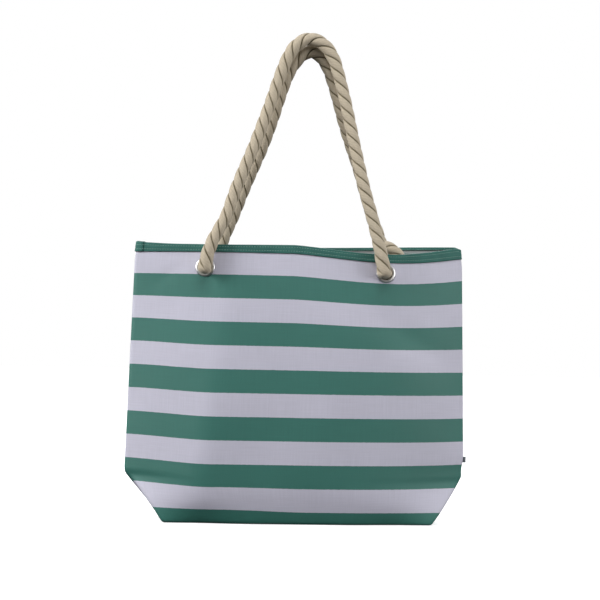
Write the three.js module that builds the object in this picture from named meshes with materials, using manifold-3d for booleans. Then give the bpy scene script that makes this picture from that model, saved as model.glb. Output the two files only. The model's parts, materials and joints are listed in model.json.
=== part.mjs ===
// Striped canvas beach bag with two rope handles that swing on eyelets in the rim.
// Millimetres, +Z up. The front panel faces -Y and +X is to the right of someone facing it.
// The origin is the centre of the base, on the surface that the bag stands on.
import * as THREE from 'three';
import { mergeVertices } from 'three/addons/utils/BufferGeometryUtils.js';
import Module from 'manifold-3d';

const wasm = await Module();
wasm.setup();

// ---- Driving dimensions ----

// Bag body
const RIM_Z = 356;            // height of the rim
const RIM_HALF_WIDTH = 215;   // side seam at the rim
const BELLY_HALF_WIDTH = 221; // side seam at the top of the boxed corners
const CORNER_Z = 60;          // where the fold of a boxed corner meets the side seam
const BASE_HALF_LENGTH = 173;
const BASE_HALF_DEPTH = 50;
const SEAM_HALF_DEPTH = 5;    // soft round of the cloth at each side seam
const BELLY_RISE = 10;        // how fast the middle swells above the base...
const RIM_CLOSING = 24;       // ...and how far it closes again by the rim
const BULGE_POWER = 2.8;      // how flat a panel is across its width: higher is flatter
const RIM_DIP = 8.3;          // the front rim sags this much towards the right
const DIP_START = 10;         // where along X the sag of the front rim starts
const SEAM_GAP = 0.2;         // from each panel's edge to the seam plane y = 0

// Cloth layers, from the outside inwards
const GAP = 0.3;
const PANEL_THICKNESS = 1;
const STIFFENER_THICKNESS = 0.8;
const LINING_THICKNESS = 0.6;
const BINDING_THICKNESS = 0.8;
const BINDING_HEIGHT = 11;
const BINDING_TURN_IN = 4;    // how far the binding reaches down inside the mouth
const STIFFENER_HEIGHT = 45;
const STIFFENER_INSET = PANEL_THICKNESS + GAP;
const LINING_INSET = STIFFENER_INSET + STIFFENER_THICKNESS + GAP;
const STACK_THICKNESS = LINING_INSET + LINING_THICKNESS;
const CLOTH_TOP = RIM_Z - BINDING_THICKNESS - GAP;

// Eyelets
const EYELET_Z = 325;
const EYELET_SAG = 2.5;           // how much lower an eyelet is where the rim sags most
const EYELET_HALF_SPACING = 115.7;
const FRONT_EYELET_SHIFT = -7.05; // middle of the front pair along X
const REAR_EYELET_SHIFT = 3.5;    // middle of the rear pair along X
const BARREL_INNER_RADIUS = 8.4;
const BARREL_OUTER_RADIUS = 9;
const CLOTH_HOLE_RADIUS = 9.4;
const FLANGE_RADIUS = 12.6;
const FLANGE_RISE = 2.4;
const FLANGE_LIFT = 0.45;         // under the flange, so that it clears the curved cloth
const WASHER_THICKNESS = 0.6;
const ROLL_WIDTH = 1.7;           // the barrel's end, rolled out over the washer
const ROLL_DEPTH = 0.8;

// Rope handles
const ROPE_RADIUS = 8;
const TAIL_RADIUS = 7.5;
const SWING_Y = 46;               // distance of each swing axis from the middle of the bag
const SWING_Z = 325;
const KNOT_RADII = [20, 12.4, 17];
const KNOT_Y = 13.4;
const KNOT_Z = 322;
const TAIL_DROP = 42;             // from a knot down to the end of its hanging tail
const TAIL_LEAN = 7;

// Side label
const LABEL_Z = 82;
const LABEL_HEIGHT = 8;
const LABEL_LENGTH = 3.2;
const LABEL_THICKNESS = 1.4;

// Mesh fineness
const COLUMNS = 20;           // divisions across a panel
const CORNER_ROWS = 3;
const WALL_ROWS = 6;
const STIFFENER_ROWS = 2;
const ROUND_SEGMENTS = 16;
const ROPE_SIDES = 10;
const ARCH_STEPS = 44;
const TAIL_STEPS = 6;
const BALL_SEGMENTS = 14;
const BALL_RINGS = 10;
const DOME_STEPS = 4;
const WELD_DISTANCE = 1e-3;
const DRAPE_ROUNDS = 8;       // enough for the sag of the cloth to be undone exactly

// Route of each handle, from its left swing point over the top to its right one.
const FRONT_ARCH = [
  [-123.5, -SWING_Y, SWING_Z], [-121, -44.8, 340], [-115.5, -42.8, 356], [-107, -40, 373],
  [-98.5, -37.5, 388], [-88.5, -32.5, 419], [-76.5, -27, 451], [-63.5, -21.5, 483],
  [-52, -16.5, 515], [-41, -12.3, 547], [-30.5, -9.6, 579], [-22, -8.6, 600.5],
  [-11, -7.8, 618], [7, -7, 627.5], [25.5, -7.8, 619.5], [37, -8.6, 604],
  [44.5, -9.6, 582], [53, -12.3, 550], [60, -16.5, 518], [66.5, -21.5, 487],
  [73.5, -27, 455], [81, -32.5, 424], [89.5, -37.5, 393], [97.2, -42.3, 362],
  [102, -44.8, 341], [104.5, -SWING_Y, SWING_Z],
];
const REAR_ARCH = [
  [-115, SWING_Y, SWING_Z], [-108, 44.8, 341], [-100.5, 42.5, 361], [-94.5, 40, 377],
  [-87.5, 37.5, 393], [-76, 32.5, 425], [-63, 27, 457], [-50, 21.5, 489],
  [-39, 16.5, 521], [-30, 12.3, 552], [-19, 9.6, 584], [-10.5, 8.6, 599],
  [8.5, 7, 614], [26, 8.6, 603.5], [35.5, 9.6, 586], [45.5, 12.3, 555],
  [55, 16.5, 524], [66, 21.5, 492.5], [78, 27, 461.5], [88, 32.5, 430],
  [99, 37.5, 398], [112, 42, 366], [119, 44.8, 341], [121.5, SWING_Y, SWING_Z],
];

// ---- Materials ----

function material(color, roughness, metalness) {
  return new THREE.MeshStandardMaterial({ color, roughness, metalness });
}

const materials = {
  canvas: () => material(0x4f8074, 0.9, 0),
  lining: () => material(0xc9ccc9, 0.9, 0),
  stiffener: () => material(0xdedbd0, 0.9, 0),
  binding: () => material(0x3f6a60, 0.85, 0),
  rope: () => material(0xb9aa95, 0.95, 0),
  metal: () => material(0xcbc8c8, 0.3, 1),
  label: () => material(0x7d858a, 0.8, 0),
};

// ---- Solids and booleans ----

// Turns a closed three.js geometry into a manifold solid.
function toSolid(geometry) {
  const bare = geometry.clone();
  bare.deleteAttribute('normal');
  bare.deleteAttribute('uv');
  const welded = mergeVertices(bare, WELD_DISTANCE);
  return new wasm.Manifold(new wasm.Mesh({
    numProp: 3,
    vertProperties: new Float32Array(welded.attributes.position.array),
    triVerts: new Uint32Array(welded.index.array),
  }));
}

function toGeometry(solid) {
  const mesh = solid.getMesh();
  const geometry = new THREE.BufferGeometry();
  geometry.setAttribute('position', new THREE.BufferAttribute(mesh.vertProperties, 3));
  geometry.setIndex(new THREE.BufferAttribute(mesh.triVerts, 1));
  geometry.computeVertexNormals();
  return geometry;
}

function namedMesh(name, geometry, look) {
  const mesh = new THREE.Mesh(geometry, look());
  mesh.name = name;
  return mesh;
}

// ---- Shape of the bag ----

// Half the bag's width at a height: it opens quickly over the boxed corners,
// then narrows slowly up to the rim.
function halfWidth(z) {
  if (z < CORNER_Z) {
    return THREE.MathUtils.lerp(BASE_HALF_LENGTH, BELLY_HALF_WIDTH, z / CORNER_Z);
  }
  const up = (z - CORNER_Z) / (RIM_Z - CORNER_Z);
  return THREE.MathUtils.lerp(BELLY_HALF_WIDTH, RIM_HALF_WIDTH, up);
}

// Half the depth of the flat end face at a height: the triangle of a boxed corner,
// and above it the soft round of the side seam.
function endHalfDepth(z) {
  return Math.max(SEAM_HALF_DEPTH, BASE_HALF_DEPTH * (1 - z / CORNER_Z));
}

// Half the bag's depth at its middle: a slight belly that closes towards the rim.
function middleHalfDepth(z) {
  const up = z / RIM_Z;
  return BASE_HALF_DEPTH + BELLY_RISE * up - RIM_CLOSING * up * up;
}

// Half-width and depths of the layer that lies `inset` inside the outer face.
function layer(z, inset) {
  const outerWidth = halfWidth(z);
  const outerEnd = endHalfDepth(z);
  const outerMiddle = middleHalfDepth(z);
  const slope = (outerMiddle - outerEnd) * BULGE_POWER / outerWidth;
  return {
    width: outerWidth - inset,
    end: outerEnd - inset * (Math.hypot(1, slope) - slope),
    middle: outerMiddle - inset,
  };
}

// Distance of a panel from the plane y = 0.
function depthAt(x, z, inset = 0) {
  const { width, end, middle } = layer(z, inset);
  const across = Math.min(Math.abs(x) / width, 1);
  return end + (middle - end) * (1 - across ** BULGE_POWER);
}

// How much of the front rim's sag there is at a place along X, from 0 to 1.
function sagAt(side, x) {
  if (side > 0 || x <= DIP_START) return 0;
  const along = (x - DIP_START) / (RIM_HALF_WIDTH - DIP_START);
  return Math.sin(Math.PI * Math.min(along, 1)) ** 2;
}

// Height of a point of the cloth, with the sag of the front rim.
function drapedZ(side, x, z) {
  return z - RIM_DIP * sagAt(side, x) * (z / RIM_Z) ** 2;
}

// Points of one level of a panel, from its left corner to its right corner.
// side is -1 for the front and 1 for the rear.
function levelPoints(side, z, inset) {
  const { width } = layer(z, inset);
  const points = [];
  for (let i = 0; i <= COLUMNS; i += 1) {
    const x = width * (2 * i / COLUMNS - 1);
    points.push(new THREE.Vector3(x, side * depthAt(x, z, inset), drapedZ(side, x, z)));
  }
  return points;
}

// Distance of the draped panel's outer face from the plane y = 0 at a real height.
function drapedDepth(side, x, z) {
  let flatZ = z;
  for (let k = 0; k < DRAPE_ROUNDS; k += 1) flatZ += z - drapedZ(side, x, flatZ);
  return depthAt(x, flatZ);
}

// Outward normal of the draped panel's outer face.
function panelNormal(side, x, z) {
  const step = 0.5;
  const slopeX = (drapedDepth(side, x + step, z) - drapedDepth(side, x - step, z)) / (2 * step);
  const slopeZ = (drapedDepth(side, x, z + step) - drapedDepth(side, x, z - step)) / (2 * step);
  return new THREE.Vector3(-slopeX, side, -slopeZ).normalize();
}

// ---- Sewn cloth ----

function geometryOf(triangles) {
  const geometry = new THREE.BufferGeometry();
  const positions = triangles.flatMap((point) => point.toArray());
  geometry.setAttribute('position', new THREE.Float32BufferAttribute(positions, 3));
  return mergeVertices(geometry, WELD_DISTANCE);
}

// Adds the two triangles of the quad a b c d, turned over on the rear side.
function addQuad(triangles, side, a, b, c, d) {
  if (side < 0) triangles.push(a, b, c, a, c, d);
  else triangles.push(a, c, b, a, d, c);
}

// A closed sheet of cloth on one side of the bag, from the left seam to the right one.
// levels are the heights of its rows; with a base it also covers that side's half of
// the base, and its first row is the base's edge.
function clothSheet({ side, inset, thickness, levels, hasBase }) {
  const innerLevels = [...levels];
  if (hasBase) innerLevels[0] += thickness;
  const rowsOf = (heights, depth) => heights.map((z) => {
    const row = levelPoints(side, z, depth);
    const left = row[0].clone().setY(side * SEAM_GAP);
    const right = row[COLUMNS].clone().setY(side * SEAM_GAP);
    return [left, ...row, right];
  });
  const outer = rowsOf(levels, inset);
  const inner = rowsOf(innerLevels, inset + thickness);
  const last = COLUMNS + 2;
  const top = levels.length - 1;
  const triangles = [];
  for (let j = 0; j < top; j += 1) {
    for (let i = 0; i < last; i += 1) {
      addQuad(triangles, side, outer[j][i], outer[j][i + 1], outer[j + 1][i + 1], outer[j + 1][i]);
      addQuad(triangles, side, inner[j][i], inner[j + 1][i], inner[j + 1][i + 1], inner[j][i + 1]);
    }
    addQuad(triangles, side, outer[j][0], outer[j + 1][0], inner[j + 1][0], inner[j][0]);
    addQuad(triangles, side, outer[j][last], inner[j][last], inner[j + 1][last], outer[j + 1][last]);
  }
  for (let i = 0; i < last; i += 1) {
    addQuad(triangles, side, outer[top][i], outer[top][i + 1], inner[top][i + 1], inner[top][i]);
  }
  if (hasBase) {
    const onSeam = (point) => point.clone().setY(side * SEAM_GAP);
    for (let i = 1; i < last - 1; i += 1) {
      const [a, b, c, d] = [outer[0][i], outer[0][i + 1], inner[0][i], inner[0][i + 1]];
      addQuad(triangles, side, a, onSeam(a), onSeam(b), b);
      addQuad(triangles, side, c, d, onSeam(d), onSeam(c));
      addQuad(triangles, side, onSeam(a), onSeam(c), onSeam(d), onSeam(b));
    }
  } else {
    for (let i = 0; i < last; i += 1) {
      addQuad(triangles, side, outer[0][i], inner[0][i], inner[0][i + 1], outer[0][i + 1]);
    }
  }
  return toSolid(geometryOf(triangles));
}

// Heights of the rows of a sheet that runs from the base to the rim.
function fullLevels(bottom) {
  const levels = [bottom];
  for (let k = 1; k <= CORNER_ROWS; k += 1) levels.push(CORNER_Z * k / CORNER_ROWS);
  for (let k = 1; k <= WALL_ROWS; k += 1) {
    levels.push(THREE.MathUtils.lerp(CORNER_Z, CLOTH_TOP, k / WALL_ROWS));
  }
  return levels;
}

function stiffenerLevels() {
  const levels = [];
  for (let k = 0; k <= STIFFENER_ROWS; k += 1) {
    levels.push(CLOTH_TOP - STIFFENER_HEIGHT * (1 - k / STIFFENER_ROWS));
  }
  return levels;
}

// Cuts a sheet's two eyelet holes.
function withEyeletHoles(sheet, eyelets) {
  let result = sheet;
  for (const eyelet of eyelets) {
    const cutter = new THREE.CylinderGeometry(
      CLOTH_HOLE_RADIUS, CLOTH_HOLE_RADIUS, 4 * STACK_THICKNESS, ROUND_SEGMENTS,
    );
    cutter.applyMatrix4(eyelet.matrix);
    result = result.subtract(toSolid(cutter));
  }
  return result;
}

// The binding: a strip folded over the top edges, all round the mouth, with a short inner side.
function rimBinding() {
  const outside = -GAP - BINDING_THICKNESS;
  const inside = STACK_THICKNESS + GAP + BINDING_THICKNESS;
  const hem = RIM_Z - BINDING_HEIGHT;
  const innerHem = RIM_Z - BINDING_TURN_IN;
  const roof = RIM_Z - BINDING_THICKNESS;
  const profile = [
    [outside, hem], [outside, RIM_Z], [inside, RIM_Z], [inside, innerHem],
    [inside - BINDING_THICKNESS, innerHem], [inside - BINDING_THICKNESS, roof], [-GAP, roof], [-GAP, hem],
  ];
  const rings = profile.map(([inset, z]) => {
    const front = levelPoints(-1, z, inset);
    const rear = levelPoints(1, z, inset).reverse();
    return [...front, ...rear];
  });
  const count = rings[0].length;
  const triangles = [];
  for (let k = 0; k < rings.length; k += 1) {
    const ring = rings[k];
    const next = rings[(k + 1) % rings.length];
    for (let i = 0; i < count; i += 1) {
      const after = (i + 1) % count;
      addQuad(triangles, -1, ring[i], ring[after], next[after], next[i]);
    }
  }
  return toSolid(geometryOf(triangles));
}

// ---- Eyelets ----

// Where an eyelet sits on the cloth. Its local +Y points out of the bag.
function eyeletPlace(side, x) {
  const z = EYELET_Z - EYELET_SAG * sagAt(side, x);
  const position = new THREE.Vector3(x, side * drapedDepth(side, x, z), z);
  const normal = panelNormal(side, x, z);
  const turn = new THREE.Quaternion().setFromUnitVectors(new THREE.Vector3(0, 1, 0), normal);
  const matrix = new THREE.Matrix4().compose(position, turn, new THREE.Vector3(1, 1, 1));
  return { side, x, position, normal, turn, matrix };
}

function latheOf(profile) {
  const points = profile.map(([radius, height]) => new THREE.Vector2(radius, height));
  return new THREE.LatheGeometry([...points, points[0].clone()], ROUND_SEGMENTS);
}

// The outer half: a domed flange and a barrel whose end is rolled out over the washer.
function eyeletGeometry() {
  const washerBack = -STACK_THICKNESS - FLANGE_LIFT - WASHER_THICKNESS - GAP;
  const domeMiddle = (FLANGE_RADIUS + BARREL_INNER_RADIUS) / 2;
  const domeHalfWidth = (FLANGE_RADIUS - BARREL_INNER_RADIUS) / 2;
  const dome = [];
  for (let k = 0; k <= DOME_STEPS; k += 1) {
    const angle = Math.PI * k / DOME_STEPS;
    const rise = (FLANGE_RISE - FLANGE_LIFT) * Math.sin(angle);
    dome.push([domeMiddle + domeHalfWidth * Math.cos(angle), FLANGE_LIFT + rise]);
  }
  return latheOf([
    [BARREL_INNER_RADIUS, washerBack - ROLL_DEPTH],
    [BARREL_OUTER_RADIUS + ROLL_WIDTH, washerBack - ROLL_DEPTH],
    [BARREL_OUTER_RADIUS + ROLL_WIDTH, washerBack],
    [BARREL_OUTER_RADIUS, washerBack],
    [BARREL_OUTER_RADIUS, FLANGE_LIFT],
    ...dome,
  ]);
}

// The inner half: a flat ring round the barrel, against the lining.
function washerGeometry() {
  const front = -STACK_THICKNESS - FLANGE_LIFT;
  const back = front - WASHER_THICKNESS;
  return latheOf([
    [CLOTH_HOLE_RADIUS, back], [FLANGE_RADIUS, back], [FLANGE_RADIUS, front], [CLOTH_HOLE_RADIUS, front],
  ]);
}

function placedOn(eyelet, mesh) {
  mesh.position.copy(eyelet.position);
  mesh.quaternion.copy(eyelet.turn);
  return mesh;
}

// ---- Ropes ----

function vectors(points) {
  return points.map((point) => new THREE.Vector3(...point));
}

function ropeSolid(points, radius, steps) {
  const section = new THREE.Shape();
  for (let i = 0; i < ROPE_SIDES; i += 1) {
    const angle = 2 * Math.PI * i / ROPE_SIDES;
    const x = radius * Math.cos(angle);
    const y = radius * Math.sin(angle);
    if (i === 0) section.moveTo(x, y);
    else section.lineTo(x, y);
  }
  const path = new THREE.CatmullRomCurve3(vectors(points), false, 'centripetal');
  return toSolid(new THREE.ExtrudeGeometry(section, {
    extrudePath: path, steps, curveSegments: 1, bevelEnabled: false,
  }));
}

function ballSolid(centre, radii) {
  const ball = new THREE.SphereGeometry(1, BALL_SEGMENTS, BALL_RINGS);
  ball.scale(...radii);
  ball.translate(...centre);
  return toSolid(ball);
}

// A handle: the rope from one swing point over the top to the other, with round ends
// that turn in front of the eyelets.
function handleSolid(arch) {
  const round = [ROPE_RADIUS, ROPE_RADIUS, ROPE_RADIUS];
  return ropeSolid(arch, ROPE_RADIUS, ARCH_STEPS)
    .add(ballSolid(arch[0], round))
    .add(ballSolid(arch[arch.length - 1], round));
}

// A rope end: the stretch through the eyelet, the knot that stops it, and its tail.
function ropeEndSolid(eyelet, tail) {
  const innerReach = Math.abs(eyelet.position.y) - KNOT_Y;
  const outerEnd = eyelet.position.clone().addScaledVector(eyelet.normal, FLANGE_RISE);
  const innerEnd = eyelet.position.clone().addScaledVector(eyelet.normal, -innerReach);
  const through = ropeSolid([innerEnd.toArray(), outerEnd.toArray()], ROPE_RADIUS, 1);
  const knot = ballSolid([eyelet.x, eyelet.side * KNOT_Y, KNOT_Z], KNOT_RADII);
  return through.add(knot).add(ropeSolid(tail, TAIL_RADIUS, TAIL_STEPS));
}

// A tail that hangs below its knot, leaning towards the middle of the bag.
function hangingTail(eyelet) {
  const lean = -Math.sign(eyelet.x) * TAIL_LEAN;
  const y = eyelet.side * KNOT_Y;
  return [[eyelet.x, y, KNOT_Z], [eyelet.x + lean, y, KNOT_Z - TAIL_DROP]];
}

// The front right tail stands up out of the mouth and leans on the handle.
const STANDING_TAIL = [
  [122, -14.6, 326], [128.5, -15, 338], [127, -15, 348.5], [116, -15, 356.5], [106, -15, 360.5],
];

// ---- Side label ----

// A small blank ribbon loop sewn into the right side seam.
function labelGeometry() {
  const half = LABEL_THICKNESS / 2;
  const outline = new THREE.Shape();
  outline.moveTo(0, -half);
  outline.lineTo(LABEL_LENGTH - half, -half);
  outline.absarc(LABEL_LENGTH - half, 0, half, -Math.PI / 2, Math.PI / 2, false);
  outline.lineTo(0, half);
  const ribbon = new THREE.ExtrudeGeometry(outline, {
    depth: LABEL_HEIGHT, curveSegments: 4, bevelEnabled: false,
  });
  ribbon.translate(halfWidth(LABEL_Z) + GAP, 0, LABEL_Z - LABEL_HEIGHT / 2);
  return ribbon;
}

// ---- Assembly ----

const bag = new THREE.Group();

const sides = [
  { name: 'front', side: -1, shift: FRONT_EYELET_SHIFT, arch: FRONT_ARCH },
  { name: 'rear', side: 1, shift: REAR_EYELET_SHIFT, arch: REAR_ARCH },
];

for (const { name, side, shift, arch } of sides) {
  const left = eyeletPlace(side, shift - EYELET_HALF_SPACING);
  const right = eyeletPlace(side, shift + EYELET_HALF_SPACING);
  const eyelets = [left, right];

  const panel = clothSheet({
    side, inset: 0, thickness: PANEL_THICKNESS, levels: fullLevels(0), hasBase: true,
  });
  const lining = clothSheet({
    side, inset: LINING_INSET, thickness: LINING_THICKNESS,
    levels: fullLevels(STIFFENER_INSET), hasBase: true,
  });
  const stiffener = clothSheet({
    side, inset: STIFFENER_INSET, thickness: STIFFENER_THICKNESS,
    levels: stiffenerLevels(), hasBase: false,
  });
  const sheets = [
    [`${name}_panel`, panel, materials.canvas],
    [`${name}_lining`, lining, materials.lining],
    [`${name}_rim_stiffener`, stiffener, materials.stiffener],
  ];
  for (const [sheetName, sheet, look] of sheets) {
    bag.add(namedMesh(sheetName, toGeometry(withEyeletHoles(sheet, eyelets)), look));
  }

  for (const eyelet of eyelets) {
    const place = `${name}_${eyelet.x < 0 ? 'left' : 'right'}`;
    const stands = side < 0 && eyelet.x > 0;
    const tail = stands ? STANDING_TAIL : hangingTail(eyelet);
    bag.add(placedOn(eyelet, namedMesh(`${place}_eyelet`, eyeletGeometry(), materials.metal)));
    bag.add(placedOn(eyelet, namedMesh(`${place}_washer`, washerGeometry(), materials.metal)));
    const ropeEnd = toGeometry(ropeEndSolid(eyelet, tail));
    bag.add(namedMesh(`${place}_knot`, ropeEnd, materials.rope));
  }

  bag.add(namedMesh(`${name}_handle`, toGeometry(handleSolid(arch)), materials.rope));
}

bag.add(namedMesh('rim_binding', toGeometry(rimBinding()), materials.binding));
bag.add(namedMesh('side_label', labelGeometry(), materials.label));

export default bag;
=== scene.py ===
"""A striped canvas beach bag with two twisted rope handles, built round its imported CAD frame.

Metres, +Z up, and the front faces -Y. All the cloth is cut from one lofted shell, so that every
layer follows the same folds and sags. The ropes are swept from a three-strand section.
"""
import json
import math

import bpy
import numpy as np
from mathutils import Matrix, Vector

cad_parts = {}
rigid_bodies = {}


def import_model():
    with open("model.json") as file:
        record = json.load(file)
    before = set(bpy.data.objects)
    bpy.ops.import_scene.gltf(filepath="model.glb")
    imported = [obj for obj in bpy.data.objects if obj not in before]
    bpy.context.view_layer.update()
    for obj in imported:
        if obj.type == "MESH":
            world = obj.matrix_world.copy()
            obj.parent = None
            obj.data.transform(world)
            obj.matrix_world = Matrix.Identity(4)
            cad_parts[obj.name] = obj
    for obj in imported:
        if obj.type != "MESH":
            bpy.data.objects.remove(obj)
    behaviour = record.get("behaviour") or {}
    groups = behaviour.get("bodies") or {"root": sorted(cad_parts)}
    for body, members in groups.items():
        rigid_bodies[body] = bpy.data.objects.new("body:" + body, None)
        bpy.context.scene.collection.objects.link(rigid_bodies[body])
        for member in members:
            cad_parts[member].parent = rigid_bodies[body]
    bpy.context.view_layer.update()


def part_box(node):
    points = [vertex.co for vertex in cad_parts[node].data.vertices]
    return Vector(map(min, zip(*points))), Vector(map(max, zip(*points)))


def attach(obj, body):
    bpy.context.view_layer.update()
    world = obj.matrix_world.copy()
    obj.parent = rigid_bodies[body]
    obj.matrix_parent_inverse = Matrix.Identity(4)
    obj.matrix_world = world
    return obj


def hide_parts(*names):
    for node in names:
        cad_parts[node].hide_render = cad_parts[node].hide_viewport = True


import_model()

# ---------------- driving dimensions

MM = 0.001
UP = np.array([0.0, 0.0, 1.0])
FRONT, REAR = -1, 1

# Bag body. The rim, the belly and the top of the cloth come from the frame.
RIM_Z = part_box("rim_binding")[1].z
CLOTH_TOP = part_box("rear_panel")[1].z
BELLY_HALF_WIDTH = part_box("rear_panel")[1].x
RIM_HALF_WIDTH = 213.7 * MM      # just below the binding...
PINCHED_HALF_WIDTH = 211 * MM    # ...and at the top of the seams, which the binding draws in...
PINCH_HEIGHT = 12 * MM           # ...from this far below it
CORNER_Z = 60 * MM
LEFT_BASE_LENGTH = 170 * MM      # from the middle of the base to its left end...
RIGHT_BASE_LENGTH = 174.5 * MM   # ...and to its right end, which is pulled out a little
SOFT_CORNER = 3 * MM             # the right boxed corner is rounded off by this much...
SOFT_CORNER_Z = 66 * MM          # ...at this height...
SOFT_CORNER_REACH = 12 * MM      # ...and less and less for this far above and below it
BASE_HALF_DEPTH = 50 * MM
SEAM_HALF_DEPTH = 5 * MM
PANEL_WIDTH = 2 * (RIM_HALF_WIDTH + SEAM_HALF_DEPTH)   # laid flat, from seam to seam
BELLY_RISE = 10 * MM
RIM_CLOSING = 24 * MM
BULGE_POWER = 2.8
SEAM_GAP = 0.2 * MM

# Cloth layers, from the outside inwards.
GAP = 0.3 * MM
PANEL_THICKNESS = 1.0 * MM
STIFFENER_THICKNESS = 0.8 * MM
LINING_THICKNESS = 0.6 * MM
STIFFENER_INSET = PANEL_THICKNESS + GAP
LINING_INSET = STIFFENER_INSET + STIFFENER_THICKNESS + GAP
STACK_THICKNESS = LINING_INSET + LINING_THICKNESS
BINDING_HEIGHT = 11 * MM
BINDING_THICKNESS = 0.8 * MM
BINDING_TURN_IN = 4 * MM
HEM_Z = RIM_Z - BINDING_HEIGHT

# Stripes, measured down from the rim.
STRIPE = 30 * MM
FIRST_STRIPE_TOP = 40 * MM

# Eyelets.
BARREL_INNER_RADIUS = 8.4 * MM
BARREL_OUTER_RADIUS = 9.0 * MM
CLOTH_HOLE_RADIUS = 9.4 * MM
FLANGE_RADIUS = 12.6 * MM
FLANGE_RISE = 2.4 * MM
FLANGE_LIFT = 0.45 * MM
WASHER_THICKNESS = 0.6 * MM

# Ropes.
ROPE_RADIUS = 8 * MM
ROPE_LAY = 55 * MM
STRANDS = 3
SWING_Y = 46 * MM


def mm(points):
    """A list of points in millimetres, as an array in metres."""
    return np.array(points, float) * MM


# Route of each handle, from its left swing point over the top to its right one.
FRONT_ARCH = mm([
    [-123.5, -46, 325], [-121, -44.8, 340], [-115.5, -42.8, 356], [-107, -40, 373],
    [-98.5, -37.5, 388], [-88.5, -32.5, 419], [-76.5, -27, 451], [-63.5, -21.5, 483],
    [-52, -16.5, 515], [-41, -12.3, 547], [-30.5, -9.6, 579], [-22, -8.6, 600.5],
    [-11, -7.8, 618], [7, -7, 627.5], [25.5, -7.8, 619.5], [37, -8.6, 604],
    [44.5, -9.6, 582], [53, -12.3, 550], [60, -16.5, 518], [66.5, -21.5, 487],
    [73.5, -27, 455], [81, -32.5, 424], [89.5, -37.5, 393], [97.2, -42.3, 362],
    [102, -44.8, 341], [104.5, -46, 325],
])
REAR_ARCH = mm([
    [-115, 46, 325], [-108, 44.8, 341], [-100.5, 42.5, 361], [-94.5, 40, 377],
    [-87.5, 37.5, 393], [-76, 32.5, 425], [-63, 27, 457], [-50, 21.5, 489],
    [-39, 16.5, 521], [-30, 12.3, 552], [-19, 9.6, 584], [-10.5, 8.6, 599],
    [8.5, 7, 614], [26, 8.6, 603.5], [35.5, 9.6, 586], [45.5, 12.3, 555],
    [55, 16.5, 524], [66, 21.5, 492.5], [78, 27, 461.5], [88, 32.5, 430],
    [99, 37.5, 398], [112, 42, 366], [119, 44.8, 341], [121.5, 46, 325],
])


# ---------------- camera, lights and floor

CAMERA_PLACE = (-0.1400, -1.8944, 0.2542)
CAMERA_TARGET = (0.0015, 0, 0.2863)
CAMERA_ROLL = 1.24
CAMERA_LENS = 87.5
SENSOR_WIDTH = 36
CLIP_END = 50

# Each soft light's name, place, target, width and power.
LIGHTS = [
    ("key", (-2.05, -0.62, 1.05), (0, 0, 0.30), 1.2, 43),
    ("fill", (1.95, -1.00, 0.60), (0, 0, 0.20), 1.2, 23),
    ("top", (0.0, -0.80, 1.45), (0, 0, 0.30), 1.0, 7.5),
    ("back", (0.50, 2.10, 1.50), (0, 0, 0.25), 1.2, 26),
]

WORLD_TINT = (0.95, 0.97, 1)
WORLD_LIGHT = (0.03, 0.36)   # strength of the soft light from below and from above...
WORLD_TURN = (-0.35, 0.5)    # ...with a smooth change between these slopes of its rays

FLOOR_RADIUS = 6.0
FLOOR_SIDES = 64
FLOOR_COLOR = (0.80, 0.80, 0.80)
FLOOR_DROP = 0.5 * MM        # clear of the bag's base
GLOW = (0.62, 1.0)           # the floor glows more and more towards its plain white surround...
GLOW_REACH = (0.15, 1.0)     # ...over these distances from the bag


def add_object(name, data):
    obj = bpy.data.objects.new(name, data)
    bpy.context.scene.collection.objects.link(obj)
    return obj


def look_at(obj, target, roll=0.0):
    """Turns a camera or light towards a point, with a roll in degrees."""
    turn = (Vector(target) - obj.location).to_track_quat("-Z", "Y").to_matrix().to_4x4()
    rolled = Matrix.Rotation(math.radians(roll), 4, "Z")
    obj.matrix_world = Matrix.Translation(obj.location) @ turn @ rolled


def make_camera():
    data = bpy.data.cameras.new("camera")
    data.lens = CAMERA_LENS
    data.sensor_width = SENSOR_WIDTH
    data.clip_end = CLIP_END
    camera = add_object("camera", data)
    camera.location = CAMERA_PLACE
    look_at(camera, CAMERA_TARGET, CAMERA_ROLL)
    bpy.context.scene.camera = camera


def make_lights():
    for name, place, target, size, power in LIGHTS:
        data = bpy.data.lights.new(name, "AREA")
        data.shape = "DISK"
        data.size = size
        data.energy = power
        light = add_object(name, data)
        light.location = place
        look_at(light, target)


def make_world():
    """A bright plain background that lights the bag only softly, and hardly from below."""
    graph = Graph(bpy.data.worlds.new("studio"))
    graph.nodes.clear()
    direction = graph.node("TexCoord", {})["Generated"]
    height = graph.node("SeparateXYZ", {0: direction})["Z"]
    strength = graph.remap(height, WORLD_TURN, WORLD_LIGHT, interpolation_type="SMOOTHSTEP")
    lighting = graph.node("Background", {"Color": WORLD_TINT, "Strength": strength})[0]
    seen = graph.node("Background", {"Color": (1, 1, 1), "Strength": 1.0})[0]
    is_seen = graph.node("LightPath", {})["Is Camera Ray"]
    mixed = graph.node("MixShader", {0: is_seen, 1: lighting, 2: seen})[0]
    graph.node("OutputWorld", {"Surface": mixed})
    bpy.context.scene.world = graph.owner
    bpy.context.scene.view_settings.view_transform = "Standard"


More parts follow.
